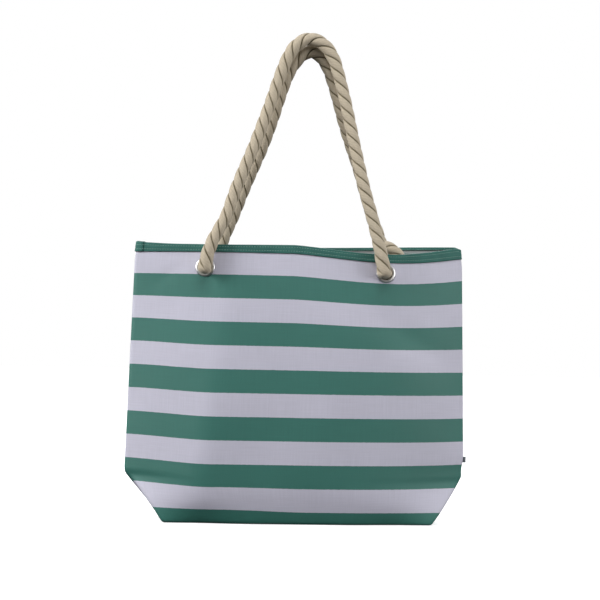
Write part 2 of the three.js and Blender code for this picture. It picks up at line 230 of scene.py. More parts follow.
def make_floor():
    """A pale round floor that melts into the white background."""
    angles = [2 * math.pi * k / FLOOR_SIDES for k in range(FLOOR_SIDES)]
    corners = [(FLOOR_RADIUS * math.cos(a), FLOOR_RADIUS * math.sin(a), 0) for a in angles]
    mesh = bpy.data.meshes.new("floor")
    mesh.from_pydata(corners, [], [tuple(range(FLOOR_SIDES))])
    floor = add_object("floor", mesh)
    floor.location.z = -FLOOR_DROP
    floor.visible_diffuse = False
    floor.visible_glossy = False
    graph = new_material("floor")
    from_middle = graph.node("VectorMath", {0: graph.object_place()}, operation="LENGTH")["Value"]
    glow = graph.remap(from_middle, GLOW_REACH, GLOW)
    light = {"Emission Color": (1, 1, 1), "Emission Strength": glow}
    mesh.materials.append(graph.shader(FLOOR_COLOR, roughness=0.9, more=light))


# ---------------- material graphs

SHEEN_ROUGHNESS = 0.4


class Graph:
    """A small writer of shader graphs: its methods add nodes and return output sockets."""

    def __init__(self, owner):
        self.owner = owner
        owner.use_nodes = True
        self.nodes = owner.node_tree.nodes
        self.links = owner.node_tree.links

    def feed(self, socket, value):
        """Links a socket to another one, or sets it to a number, a vector or a colour."""
        if isinstance(value, bpy.types.NodeSocket):
            self.links.new(value, socket)
        elif isinstance(value, tuple):
            socket.default_value = (*value, 1) if len(socket.default_value) == 4 else value
        else:
            socket.default_value = value

    def node(self, kind, inputs, **settings):
        """Adds a node with its settings and inputs, and returns all its outputs."""
        node = self.nodes.new("ShaderNode" + kind)
        for name, value in settings.items():
            setattr(node, name, value)
        for name, value in inputs.items():
            self.feed(node.inputs[name], value)
        return node.outputs

    def math(self, operation, a, b=0.0, clamp=False):
        return self.node("Math", {0: a, 1: b}, operation=operation, use_clamp=clamp)[0]

    def times(self, a, b):
        return self.math("MULTIPLY", a, b)

    def plus(self, a, b):
        return self.math("ADD", a, b)

    def sine(self, value, pitch):
        """A sine that changes its sign once every pitch."""
        return self.math("SINE", self.times(value, math.pi / pitch))

    def wave(self, value, pitch):
        """A smooth ridge from 0 to 1 once every pitch."""
        return self.math("ABSOLUTE", self.sine(value, pitch))

    def mix(self, share, a, b):
        return self.node("Mix", {"Factor": share, "A": a, "B": b}, data_type="RGBA")["Result"]

    def scale_color(self, color, factor):
        """A colour made lighter or darker by a factor from a socket."""
        return self.node("VectorMath", {0: color, "Scale": factor}, operation="SCALE")[0]

    def uv(self):
        """The cloth's or rope's own coordinates as two sockets."""
        split = self.node("SeparateXYZ", {0: self.node("UVMap", {})["UV"]})
        return split[0], split[1]

    def vector(self, x, y):
        return self.node("CombineXYZ", {0: x, 1: y})[0]

    def object_place(self):
        return self.node("TexCoord", {})["Object"]

    def attribute(self, name):
        return self.node("Attribute", {}, attribute_name=name)["Fac"]

    def noise(self, vector, scale, detail=2.0, roughness=0.5):
        inputs = {"Vector": vector, "Scale": scale, "Detail": detail, "Roughness": roughness}
        return self.node("TexNoise", inputs)["Fac"]

    def remap(self, value, source, target, **settings):
        """A value that runs over one range, stretched to another and held at its ends."""
        limits = dict(zip(("From Min", "From Max", "To Min", "To Max"), source + target))
        return self.node("MapRange", {"Value": value, **limits}, **settings)["Result"]

    def bump(self, height, distance, strength, below=None):
        """A normal from a height, on top of a coarser bump's normal where there is one."""
        inputs = {"Strength": strength, "Distance": distance, "Height": height}
        if below is not None:
            inputs["Normal"] = below
        return self.node("Bump", inputs)["Normal"]

    def shader(self, color, roughness, normal=None, metallic=0.0, sheen=0.0, specular=0.5, more=None):
        """Sets the material's own shader up, and returns the material."""
        inputs = {
            "Base Color": color, "Roughness": roughness, "Metallic": metallic, "Sheen Weight": sheen,
            "Sheen Roughness": SHEEN_ROUGHNESS, "Specular IOR Level": specular, **(more or {}),
        }
        if normal is not None:
            inputs["Normal"] = normal
        for name, value in inputs.items():
            self.feed(self.nodes["Principled BSDF"].inputs[name], value)
        return self.owner


def new_material(name):
    """A graph that starts from a new material's shader."""
    return Graph(bpy.data.materials.new(name))


THREAD_LOW = 0.4      # height of the thread that passes below, as a share of the one above
STREAK_SCALE = 900
STREAK_STRETCH = 0.03


def weave_height(graph, u, v, pitch):
    """Height of a plain weave: warp over weft and weft over warp, in turn."""
    sines = [graph.sine(u, pitch), graph.sine(v, pitch)]
    warp_over = graph.math("GREATER_THAN", graph.times(*sines), 0.0)
    weft_over = graph.math("SUBTRACT", 1.0, warp_over)
    threads = []
    for sine, over in zip(sines, (warp_over, weft_over)):
        lift = graph.plus(graph.times(over, 1 - THREAD_LOW), THREAD_LOW)
        threads.append(graph.times(graph.math("ABSOLUTE", sine), lift))
    return graph.math("MAXIMUM", *threads)


def thread_tone(graph, u, v, amount):
    """Slight differences in tone from thread to thread, as streaks along both directions."""
    along = graph.noise(graph.vector(graph.times(u, STREAK_STRETCH), v), STREAK_SCALE, detail=1)
    across = graph.noise(graph.vector(u, graph.times(v, STREAK_STRETCH)), STREAK_SCALE, detail=1)
    return graph.remap(graph.plus(along, across), (0.6, 1.4), (1 - amount, 1 + amount))


CANVAS_WHITE = (0.60, 0.587, 0.69)
CANVAS_GREEN = (0.0395, 0.176, 0.143)
CANVAS_PITCH = 0.75 * MM
PRINT_WANDER = 0.6 * MM       # how far the print's edges stray
PRINT_SHARPNESS = 60


def canvas_material():
    graph = new_material("striped_canvas")
    u, v = graph.uv()
    stray = graph.math("SUBTRACT", graph.noise(graph.vector(u, v), scale=260), 0.5)
    below = graph.math("SUBTRACT", graph.plus(v, graph.times(stray, PRINT_WANDER)), FIRST_STRIPE_TOP)
    side_of_edge = graph.times(graph.sine(below, STRIPE), PRINT_SHARPNESS)
    is_green = graph.math("ADD", side_of_edge, 0.5, clamp=True)
    cloudy = graph.remap(graph.noise(graph.vector(u, v), scale=14, detail=3), (0.3, 0.7), (0.975, 1.025))
    tone = graph.times(thread_tone(graph, u, v, 0.05), cloudy)
    white = graph.scale_color(CANVAS_WHITE, tone)
    green = graph.scale_color(CANVAS_GREEN, tone)
    height = weave_height(graph, u, v, CANVAS_PITCH)
    normal = graph.bump(height, 0.16 * MM, strength=0.55)
    roughness = graph.remap(height, (0, 1), (0.62, 0.50))
    return graph.shader(graph.mix(is_green, white, green), roughness, normal=normal)


# The white lining's colour, darkened with painted shade for the shadowed inside of the bag.
SHADED_LINING_COLOR = (0.36, 0.39, 0.39)
LINING_PITCH = 0.5 * MM


def lining_material():
    graph = new_material("white_lining")
    u, v = graph.uv()
    color = graph.scale_color(SHADED_LINING_COLOR, thread_tone(graph, u, v, 0.04))
    normal = graph.bump(weave_height(graph, u, v, LINING_PITCH), 0.1 * MM, strength=0.5)
    return graph.shader(color, roughness=0.8, normal=normal, specular=0.3)


FELT_COLOR = (0.75, 0.73, 0.66)


def stiffener_material():
    graph = new_material("felted_interfacing")
    fibres = graph.noise(graph.object_place(), scale=700, detail=4, roughness=0.7)
    color = graph.scale_color(FELT_COLOR, graph.remap(fibres, (0.3, 0.7), (0.9, 1.05)))
    return graph.shader(color, roughness=0.9, normal=graph.bump(fibres, 0.2 * MM, strength=0.6))


TAPE_COLOR = (0.042, 0.148, 0.124)
TAPE_RIB = 0.9 * MM


def binding_material():
    graph = new_material("green_tape")
    u, v = graph.uv()
    ribs = graph.wave(graph.plus(u, v), TAPE_RIB)
    worn = graph.remap(graph.noise(graph.vector(u, v), scale=60, detail=3), (0.35, 0.7), (0.92, 1.10))
    color = graph.scale_color(TAPE_COLOR, graph.times(thread_tone(graph, u, v, 0.10), worn))
    normal = graph.bump(ribs, 0.12 * MM, strength=0.5)
    roughness = graph.remap(ribs, (0, 1), (0.75, 0.55))
    return graph.shader(color, roughness, normal=normal, sheen=0.05, specular=0.2)


THREAD_COLOR = (0.150, 0.320, 0.270)


def thread_material():
    graph = new_material("green_thread")
    tone = graph.remap(graph.noise(graph.object_place(), scale=900), (0.3, 0.7), (0.85, 1.15))
    return graph.shader(graph.scale_color(THREAD_COLOR, tone), roughness=0.5)


STRAND_COLOR = (0.505, 0.434, 0.328)
# Painted shade: the dark colour laid into the grooves between the strands.
GROOVE_SHADE_COLOR = (0.125, 0.102, 0.052)
GROOVE_SHADE_REACH = (0.74, 0.97)   # where the painted shade in a groove begins and is full, from a strand's ridge
YARN_SLANT = 15.0             # turn of the yarns' pattern for each strand across, in radians...
YARN_TURNS = 900.0            # ...and for each metre along
WANDER_ACROSS, WANDER_ALONG = 2.0, 60


def rope_material():
    """Cotton strands of slanted yarns, with painted shade darkening the grooves between them."""
    graph = new_material("twisted_cotton")
    across, along = graph.uv()
    slanted = graph.plus(graph.times(across, YARN_SLANT), graph.times(along, YARN_TURNS))
    yarns = graph.math("SINE", slanted)
    stretched = graph.vector(graph.times(across, WANDER_ACROSS), graph.times(along, WANDER_ALONG))
    wander = graph.noise(stretched, scale=5, detail=3)
    fibres = graph.noise(graph.object_place(), scale=1500, detail=3, roughness=0.7)
    tone = graph.remap(wander, (0.3, 0.7), (0.93, 1.07))
    tone = graph.times(tone, graph.remap(yarns, (-1, 1), (0.96, 1.03)))
    tone = graph.times(tone, graph.remap(fibres, (0.35, 0.65), (0.95, 1.05)))
    # Painted shade, darkest deep in each groove between two strands.
    groove_shade_share = graph.remap(graph.attribute("groove"), GROOVE_SHADE_REACH, (0, 1))
    color = graph.mix(groove_shade_share, graph.scale_color(STRAND_COLOR, tone), GROOVE_SHADE_COLOR)
    coarse = graph.bump(yarns, 0.12 * MM, strength=0.4)
    normal = graph.bump(fibres, 0.12 * MM, strength=0.4, below=coarse)
    return graph.shader(color, roughness=0.88, normal=normal, sheen=0.25, specular=0.25)


NICKEL_COLOR = (0.74, 0.73, 0.71)


def metal_material():
    graph = new_material("nickel")
    scuffs = graph.noise(graph.object_place(), scale=420, detail=4, roughness=0.65)
    roughness = graph.remap(scuffs, (0.35, 0.75), (0.30, 0.40))
    color = graph.scale_color(NICKEL_COLOR, graph.remap(scuffs, (0.3, 0.7), (0.96, 1.02)))
    return graph.shader(color, roughness, metallic=1.0, normal=graph.bump(scuffs, 0.01 * MM, strength=0.3))


RIBBON_COLOR = (0.20, 0.225, 0.245)
RIBBON_RIB = 0.4 * MM


def label_material():
    graph = new_material("satin_ribbon")
    ribs = graph.wave(graph.uv()[1], RIBBON_RIB)
    color = graph.scale_color(RIBBON_COLOR, graph.remap(ribs, (0, 1), (0.85, 1.08)))
    return graph.shader(color, roughness=0.42, normal=graph.bump(ribs, 0.06 * MM, strength=0.5), sheen=0.2)


# ---------------- lines and grids of points

def smooth(value, low, high):
    """0 below low, 1 above high, and a smooth rise between them."""
    t = np.clip((value - low) / (high - low), 0, 1)
    return t * t * (3 - 2 * t)


def travelled_along(points):
    """Distance travelled along a line of points, at each of them."""
    return np.r_[0, np.cumsum(np.linalg.norm(np.diff(points, axis=0), axis=1))]


def place_along(distance, travelled, points):
    """The place on a line of points after a distance, or the places after many distances."""
    return np.stack([np.interp(distance, travelled, values) for values in np.transpose(points)], axis=-1)


def to_nearer_end(travelled):
    return np.minimum(travelled, travelled[-1] - travelled)


def numbered(rows, columns, ring_rows=False, ring_columns=False):
    """The numbers of a grid of points. A ring has its first row or column again after the last."""
    grid = np.arange(rows * columns).reshape(rows, columns)
    if ring_rows:
        grid = np.vstack([grid, grid[:1]])
    if ring_columns:
        grid = np.hstack([grid, grid[:, :1]])
    return grid


def cell_corners(grid, flipped=False):
    """The four corners of every cell of a grid, in order round the cell one way or the other."""
    corners = (grid[:-1, :-1], grid[1:, :-1], grid[1:, 1:], grid[:-1, 1:])
    cells = np.stack(corners, axis=2).reshape(-1, 4, *grid.shape[2:])
    return cells[:, [0, 3, 2, 1]] if flipped else cells


# ---------------- shape of the cloth

def half_width(z, x):
    """Distance of the side seam from the middle, on the side of the bag that x is on."""
    base = np.where(np.asarray(x) < 0, LEFT_BASE_LENGTH, RIGHT_BASE_LENGTH)
    corner = base + (BELLY_HALF_WIDTH - base) * np.interp(z, [0, CORNER_Z], [0, 1])
    wall_heights = [CORNER_Z, HEM_Z - PINCH_HEIGHT, RIM_Z]
    wall = np.interp(z, wall_heights, [BELLY_HALF_WIDTH, RIM_HALF_WIDTH, PINCHED_HALF_WIDTH])
    rounding = SOFT_CORNER * np.exp(-((z - SOFT_CORNER_Z) / SOFT_CORNER_REACH) ** 2)
    width = np.where(np.asarray(z) < CORNER_Z, corner, wall)
    return width - np.where(np.asarray(x) < 0, 0, rounding)


def end_half_depth(z):
    """Half the depth of the end face: the boxed corner's triangle, then the soft side seam."""
    return np.maximum(SEAM_HALF_DEPTH, BASE_HALF_DEPTH * (1 - z / CORNER_Z))


def middle_half_depth(z):
    up = z / RIM_Z
    return BASE_HALF_DEPTH + BELLY_RISE * up - RIM_CLOSING * up * up


RIDGE_FOOT_X = 125 * MM      # the soft upright ridge left of the middle, at its foot...
RIDGE_TOP_X = 86 * MM        # ...and below the eyelet
RIDGE_SOFTNESS = 0.14
FACET_CURVE = 0.22           # the cloth between the ridge and the left seam is rounded a little


def bulge(side, x, z, width):
    """How far a panel stands out at a place, from 0 at the side seam to 1 in the middle."""
    across = np.minimum(np.abs(x) / width, 1)
    soft = 1 - across ** BULGE_POWER
    if side == REAR:
        return soft
    ridge = np.interp(z, [CORNER_Z, HEM_Z], [RIDGE_FOOT_X, RIDGE_TOP_X])
    reach = (1 - across) / (1 - ridge / width)
    rounded = 1 - (1 + RIDGE_SOFTNESS - reach) ** 2 / (4 * RIDGE_SOFTNESS)
    facet = np.where(reach < 1 - RIDGE_SOFTNESS, reach, np.where(reach > 1 + RIDGE_SOFTNESS, 1, rounded))
    facet = facet * (1 + FACET_CURVE * (1 - facet))
    return np.where(x < 0, facet, soft)


# Soft hollows and swells of each panel: place along X, height, half-length, half-width, slant
# in degrees and how far it stands out, in millimetres.
SWELLS = {
    FRONT: [
        (150, 236, 60, 17, -34, -1.7),
        (120, 215, 70, 30, -30, 1.6),
        (-168, 316, 26, 8, 40, -0.7),
        (60, 150, 120, 60, 10, 1.2),
        (-40, 120, 60, 50, 80, -1.0),
        (170, 120, 40, 70, 0, 1.0),
    ],
    REAR: [
        (-120, 230, 70, 20, 28, -1.8),
        (-90, 200, 60, 30, 24, 1.5),
        (110, 140, 90, 40, -20, 1.6),
        (40, 260, 80, 25, 12, -1.2),
        (-30, 90, 100, 40, 0, 1.0),
    ],
}


def swell(side, x, z):
    total = np.zeros_like(x)
    for place, height, length, breadth, slant, outward in SWELLS[side]:
        angle = math.radians(slant)
        dx, dz = x / MM - place, z / MM - height
        along = (dx * math.cos(angle) + dz * math.sin(angle)) / length
        across = (dz * math.cos(angle) - dx * math.sin(angle)) / breadth
        total = total + outward * MM * np.exp(-along ** 2 - across ** 2)
    return total


# Faint waves of soft cloth: strength, length along X and along Z in millimetres, start, and how
# much the start differs between the front and the rear.
RIPPLES = [
    (1.0, 34, 29.03, 0, 1.7),
    (0.7, 19, -47, 0, 3.4),
    (0.5, 61, 26, 0.6, 1.7),
]
RIPPLE_HEIGHT = 0.28 * MM


def ripple(side, x, z):
    waves = [strength * np.sin(x / (length * MM) + z / (height * MM) + start + shift * side)
             for strength, length, height, start, shift in RIPPLES]
    return RIPPLE_HEIGHT * sum(waves)


CALM_SEAM = 0.12             # hollows and ripples die away in this outer share of the half-width...
CALM_FOOT = 40 * MM          # ...below this height...
CALM_RIM = 50 * MM           # ...and partly this near the rim...
RIM_CALM = 0.6               # ...by this share
FOOT_ROLL = 6.5 * MM         # the foot of each panel rolls in under the bag by this much...
FOOT_ROLL_Z = 50 * MM        # ...below this height...
END_ROLL = 6 * MM            # ...and by this much more towards its two ends...
END_ROLL_Z = 30 * MM         # ...below this height...
END_ROLL_X = (60 * MM, 140 * MM)   # ...from nothing at the first X to all of it at the second


def panel_depth(side, x, z):
    """Distance of a panel's outer face from the plane y = 0."""
    width = half_width(z, x)
    end, middle = end_half_depth(z), middle_half_depth(z)
    inside = 1 - np.minimum(np.abs(x) / width, 1)
    calm = smooth(inside, 0, CALM_SEAM) * smooth(z, 0, CALM_FOOT)
    calm = calm * (1 - RIM_CALM * smooth(z, RIM_Z - CALM_RIM, RIM_Z))
    soft = (swell(side, x, z) + ripple(side, x, z)) * calm
    rolled = FOOT_ROLL * (1 - np.minimum(z / FOOT_ROLL_Z, 1)) ** 2
    near_end = smooth(np.abs(x), *END_ROLL_X)
    rolled = rolled + END_ROLL * near_end * (1 - np.minimum(z / END_ROLL_Z, 1)) ** 2
    return end + (middle - end) * bulge(side, x, z, width) + soft - rolled


SAG_DEPTH = 9.6 * MM         # how far the front's top hangs down right of the middle
SAG_START = -10 * MM
SAG_SKEW = 1.25              # above 1 the lowest point lies nearer the right seam
SAG_FOOT_Z = 185 * MM        # below this height the cloth hangs level again
SAG_POWER = 1.2
SEAM_LIFT = 3.4 * MM         # the left side seam holds the middle of the front's left edge up
SEAM_LIFT_X = (110 * MM, 216 * MM)
SEAM_LIFT_FOOT = (0, 60 * MM)
SEAM_LIFT_TOP_Z = 230 * MM   # from here up to the rim the lift turns into a small drop...
SEAM_LIFT_TURN = 1.2         # ...once this share of it is taken away
FOOT_LIFT = 2.6 * MM         # the cloth just above the left half of the base is drawn up
FOOT_LIFT_X = (-20 * MM, 100 * MM)
FOOT_LIFT_RISE = (0, 14 * MM)
FOOT_LIFT_FALL = (25 * MM, 65 * MM)
REAR_LIFT = 4.0 * MM         # the rear rim rises towards the right seam
REAR_LIFT_X = (-20 * MM, 200 * MM)


def drape(side, x, z):
    """How far a point of the cloth is lifted, or lowered where it is negative."""
    top_share = np.clip((z - SAG_FOOT_Z) / (RIM_Z - SAG_FOOT_Z), 0, 1) ** SAG_POWER
    if side == REAR:
        return REAR_LIFT * smooth(x, *REAR_LIFT_X) * top_share
    along = np.clip((x - SAG_START) / (RIM_HALF_WIDTH - SAG_START), 0, 1)
    sag = SAG_DEPTH * np.sin(math.pi * along ** SAG_SKEW) * top_share
    held = SEAM_LIFT * smooth(-x, *SEAM_LIFT_X) * smooth(z, *SEAM_LIFT_FOOT)
    held = held * (1 - SEAM_LIFT_TURN * smooth(z, SEAM_LIFT_TOP_Z, RIM_Z))
    foot = FOOT_LIFT * smooth(-x, *FOOT_LIFT_X) * smooth(z, *FOOT_LIFT_RISE)
    return held + foot * (1 - smooth(z, *FOOT_LIFT_FALL)) - sag


# How much the binding's top edge stands above its even height, along the front and the rear rim.
# It is averaged over LIFT_BLUR to both sides.
RIM_LIFT_X = mm([-215, -160, -100, -10, 75, 130, 160, 190, 215])
RIM_LIFTS = {
    FRONT: mm([1.4, -1.2, -1.8, 0.0, -0.2, 0.9, 2.6, 3.8, 4.2]),
    REAR: mm([1.5, 0.5, 0.0, 0.3, 0.5, 0.5, 0.5, 0.5, 0.5]),
}
LIFT_BLUR = 12 * MM
LIFT_BLUR_STEPS = 9
CORNER_DROP = 3.2 * MM       # the rounded right end of the rim...
CORNER_DROP_X = (205 * MM, 213 * MM)


def rim_lift(side, x, z):
    shifts = np.linspace(-LIFT_BLUR, LIFT_BLUR, LIFT_BLUR_STEPS)
    soft = np.mean([np.interp(x + shift, RIM_LIFT_X, RIM_LIFTS[side]) for shift in shifts], axis=0)
    soft = soft - CORNER_DROP * smooth(x, *CORNER_DROP_X)
    return soft * np.maximum((z - HEM_Z) / BINDING_HEIGHT, 0)


# ---------------- the lofted shell

COLUMNS = 180                # across one panel, from seam to seam
COLUMN_STEP = PANEL_WIDTH / COLUMNS
SECTION_SAMPLES = 361
BAND_ROWS = 8                # under the binding
WALL_ROWS = 138
BASE_ROWS = 20
STIFFENER_ROWS = 24
WELD_STEP = 0.01 * MM
SMOOTHING_ROUNDS = 3
SMOOTHING_SHARE = 0.6
SEAM_VALLEY = 0.8 * MM       # how deep the side seams lie...
BASE_SEAM_LIFT = 1.0 * MM    # ...and the base seam
NEAREST_POINTS = 6
NEAREST_MARGIN = 0.1 * MM


def section(side, z):
    """A level line of one panel, from its left seam to its right one, in equal steps of cloth."""
    left, right = -half_width(z, -1), half_width(z, 1)
    fold = side * end_half_depth(z) / 2
    x = np.linspace(left, right, SECTION_SAMPLES)
    curve = np.column_stack([x, side * panel_depth(side, x, np.full_like(x, z))])
    line = np.vstack([[left, 0], [left, fold], curve, [right, fold], [right, 0]])
    travelled = travelled_along(line)
    flat = place_along(np.linspace(0, travelled[-1], COLUMNS + 1), travelled, line)
    return np.column_stack([flat, np.full(COLUMNS + 1, z)])


def panel_grid(side):
    """Points of one panel's outer face: rows run from the rim down the wall and in under the base."""
    heights = np.r_[np.linspace(CLOTH_TOP, HEM_Z, BAND_ROWS), np.linspace(HEM_Z, 0, WALL_ROWS)[1:]]
    wall = [section(side, z) for z in heights]
    foot = wall[-1]
    seam = np.zeros((COLUMNS + 1, 3))
    seam[:, 0] = np.linspace(-LEFT_BASE_LENGTH, RIGHT_BASE_LENGTH, COLUMNS + 1)
    base = [foot + (seam - foot) * k / BASE_ROWS for k in range(1, BASE_ROWS + 1)]
    return np.array(wall + base), heights


class Shell:
    """The outer face of the whole bag: welded points, smooth normals, and each panel's grid."""

    def __init__(self):
        grids = {}
        for side in (FRONT, REAR):
            grids[side], self.heights = panel_grid(side)
        self.wall_end = len(self.heights) - 1
        stacked = np.vstack([grids[FRONT].reshape(-1, 3), grids[REAR].reshape(-1, 3)])
        keys = np.round(stacked / WELD_STEP).astype(np.int64)
        _, first, inverse = np.unique(keys, axis=0, return_index=True, return_inverse=True)
        self.points = stacked[first]
        front_ids, rear_ids = inverse.reshape(2, *grids[FRONT].shape[:2])
        self.ids = {FRONT: front_ids, REAR: rear_ids}
        self.smooth_folds()
        self.hang()
        self.sink_seams()
        self.normals = self.point_normals()

    def quads(self, side):
        return cell_corners(self.ids[side], flipped=side == REAR)

    def smooth_folds(self):
        """Rounds every fold of the flat faces, as cloth does."""
        quads = np.vstack([self.quads(FRONT), self.quads(REAR)])
        edges = np.vstack([quads[:, [0, 1]], quads[:, [1, 2]], quads[:, [2, 3]], quads[:, [3, 0]]])
        edges = np.unique(np.sort(edges, axis=1), axis=0)
        edges = edges[edges[:, 0] != edges[:, 1]]
        count = len(self.points)
        degree = np.bincount(edges.reshape(-1), minlength=count)[:, None]
        rim = np.unique(np.r_[self.ids[FRONT][0], self.ids[REAR][0]])
        rim_height = self.points[rim, 2].copy()
        for _ in range(SMOOTHING_ROUNDS):
            total = np.zeros_like(self.points)
            for axis in range(3):
                values = self.points[:, axis]
                total[:, axis] = np.bincount(edges[:, 0], values[edges[:, 1]], count)
                total[:, axis] += np.bincount(edges[:, 1], values[edges[:, 0]], count)
            self.points = (1 - SMOOTHING_SHARE) * self.points + SMOOTHING_SHARE * total / degree
            self.points[rim, 2] = rim_height

    def hang(self):
        """Lifts and lowers the rims as the standing bag's cloth hangs."""
        lifted = self.points.copy()
        for side in (FRONT, REAR):
            ids = self.ids[side][: self.wall_end + 1].reshape(-1)
            x, z = self.points[ids, 0], self.points[ids, 2]
            lifted[ids, 2] = z + drape(side, x, z) + rim_lift(side, x, z)
        self.points = lifted

    def sink_seams(self):
        """The side seams and the base seam lie in a shallow valley."""
        wall = self.ids[FRONT][: self.wall_end + 1]
        self.points[wall[:, 0], 0] += SEAM_VALLEY
        self.points[wall[:, -1], 0] -= SEAM_VALLEY
        self.points[np.unique(self.ids[FRONT][-1]), 2] += BASE_SEAM_LIFT

    def point_normals(self):
        normals = np.zeros_like(self.points)
        for side in (FRONT, REAR):
            quads = self.quads(side)
            first = self.points[quads[:, 2]] - self.points[quads[:, 0]]
            second = self.points[quads[:, 3]] - self.points[quads[:, 1]]
            faces = np.cross(first, second)
            for corner in range(4):
                np.add.at(normals, quads[:, corner], faces)
        return normals / np.maximum(np.linalg.norm(normals, axis=1, keepdims=True), 1e-12)

    def at(self, side, x, z):
        """The point and outward normal of a panel's face at a place, from the grid points round it."""
        ids = self.ids[side][: self.wall_end].reshape(-1)
        points = self.points[ids]
        away = np.hypot(points[:, 0] - x, points[:, 2] - z)
        nearest = np.argsort(away)[:NEAREST_POINTS]
        weights = 1 / (away[nearest] + NEAREST_MARGIN)
        weights = (weights / weights.sum())[:, None]
        depth = (points[nearest] * weights).sum(0)[1]
        normal = (self.normals[ids[nearest]] * weights).sum(0)
        return np.array([x, depth, z]), normal / np.linalg.norm(normal)


# ---------------- mesh helpers

def link_mesh(name, points, faces, uvs, material):
    """A smooth mesh object. uvs holds one (u, v) for each corner of each face, or is None."""
    mesh = bpy.data.meshes.new(name)
    mesh.from_pydata([tuple(p) for p in points], [], [tuple(int(i) for i in f) for f in faces])
    if uvs is not None:
        layer = mesh.uv_layers.new(name="UVMap")
        layer.data.foreach_set("uv", np.asarray(uvs, np.float32).reshape(-1))
    mesh.materials.append(material)
    mesh.polygons.foreach_set("use_smooth", [True] * len(mesh.polygons))
    mesh.update()
    return add_object(name, mesh)


def thicken(obj, thickness):
    """Gives a sheet its thickness, inwards from its outer face."""
    modifier = obj.modifiers.new("thickness", "SOLIDIFY")
    modifier.thickness = thickness
    modifier.offset = -1


def finish_piece(obj, body, slot, *nodes):
    """Fixes a piece to its CAD body and hides the CAD nodes that it stands for. The finish (slot) is not
    used.
    """
    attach(obj, body)
    if nodes:
        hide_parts(*nodes)
    return obj


# ---------------- sheets of cloth

HOLE_REACH = 10 * MM         # only the cloth this near to an eyelet's plane is cut by it


def drop_degenerate(faces, uvs):
    """Turns a quad with two equal corners into a triangle."""
    kept_faces, kept_uvs = [], []
    for face, corners in zip(faces, uvs):
        chosen = [k for k in range(4) if face[k] != face[k - 1]]
        if len(chosen) >= 3:
            kept_faces.append([face[k] for k in chosen])
            kept_uvs.extend(corners[k] for k in chosen)
    return kept_faces, kept_uvs


def open_eyelet_holes(points, faces, uvs, eyelets):
    """Takes out the faces inside each eyelet and pulls the edge of the hole onto a circle."""
    inside = np.zeros(len(points), bool)
    for eyelet in eyelets:
        offset = points - eyelet["place"]
        out = offset @ eyelet["normal"]
        radial = offset - np.outer(out, eyelet["normal"])
        distance = np.linalg.norm(radial, axis=1)
        near = (distance < CLOTH_HOLE_RADIUS) & (np.abs(out) < HOLE_REACH)
        inside |= near
        points[near] += radial[near] * (CLOTH_HOLE_RADIUS / np.maximum(distance[near], 1e-9) - 1)[:, None]
    keep = ~inside[faces].all(axis=1)
    return points, faces[keep], uvs[keep]


def cloth_coordinates(shell, side, ids, row_numbers):
    """Distance along and down the cloth at every corner of every face, in metres."""
    rows, columns = np.meshgrid(row_numbers, np.arange(COLUMNS + 1), indexing="ij")
    fallen = np.r_[RIM_Z - shell.heights, np.full(BASE_ROWS, RIM_Z)]
    on_wall = np.stack([(columns / COLUMNS - 0.5) * PANEL_WIDTH, fallen[rows]], axis=-1)
    points = shell.points[ids]
    under = np.stack([points[..., 0], RIM_Z + BASE_HALF_DEPTH - np.abs(points[..., 1])], axis=-1)
    flipped = side == REAR
    is_under = cell_corners(rows)[:, 0] >= shell.wall_end
    return np.where(is_under[:, None, None], cell_corners(under, flipped), cell_corners(on_wall, flipped))


def cloth_sheet(name, shell, side, inset, rows, eyelets, material):
    """One layer of one side of the bag, cut from the shell between two rows."""
    ids = shell.ids[side][rows]
    row_numbers = np.arange(len(shell.ids[side]))[rows]
    faces = cell_corners(ids, flipped=side == REAR)
    uvs = cloth_coordinates(shell, side, ids, row_numbers)
    points = shell.points - shell.normals * inset
    seams = [ids[:, 0], ids[:, -1]]
    if row_numbers[-1] > shell.wall_end:
        seams.append(ids[-1])
    points[np.concatenate(seams), 1] = side * SEAM_GAP
    points, faces, uvs = open_eyelet_holes(points, faces, uvs, eyelets)
    used, compact = np.unique(faces, return_inverse=True)
    faces, uvs = drop_degenerate(compact.reshape(-1, 4), uvs)
    return link_mesh(name, points[used], faces, uvs, material)


def make_cloth(shell, places):
    """The panel, the lining and the stiffener of the front and of the rear."""
    canvas, lining, felt = canvas_material(), lining_material(), stiffener_material()
    whole, top_band = slice(None), slice(0, STIFFENER_ROWS)
    for side, name in ((FRONT, "front"), (REAR, "rear")):
        eyelets = [eyelet for eyelet in places.values() if eyelet["side"] == side]

        def layer(piece, node, slot, inset, thickness, rows, material):
            sheet = cloth_sheet(f"{name}_{piece}", shell, side, inset, rows, eyelets, material)
            thicken(sheet, thickness)
            return finish_piece(sheet, "bag", slot, f"{name}_{node}")

        panel = layer("canvas", "panel", "canvas", 0, PANEL_THICKNESS, whole, canvas)
        inner = layer("inner_cloth", "lining", "lining", LINING_INSET, LINING_THICKNESS, whole, lining)
        band = layer("stiffener", "rim_stiffener", "stiffener", STIFFENER_INSET, STIFFENER_THICKNESS,
                     top_band, felt)


# ---------------- binding and its stitches

STITCH_LENGTH = 2.5 * MM
STITCH_PITCH = 3.4 * MM
STITCH_WIDTH = 0.85 * MM
STITCH_ROWS = (3.2 * MM, 8.0 * MM)   # below the rim
STITCH_RINGS = STITCH_SIDES = 6
STITCH_POWER = 0.6                   # a stitch's ends are blunter than an ellipse's
STITCH_SINK = 0.2 * MM
PRESSED_DEPTH = 0.38 * MM            # the tape is drawn in along each row of stitches...
PRESSED_REACH = 0.9 * MM             # ...this far to both sides
TOP_ARC_STEPS = 8
TOP_ARC_POWER = 0.8
TURN_IN_STEPS = 3
JOIN_LENGTH = 15 * MM                # where one end of the tape lies over the other
TAPE_MESH_THICKNESS = 0.75 * MM


def rim_loop():
    """Columns of the shell round the mouth, anticlockwise from above, starting at the left seam."""
    front = [(FRONT, column) for column in range(COLUMNS)]
    return front + [(REAR, column) for column in range(COLUMNS, 0, -1)]


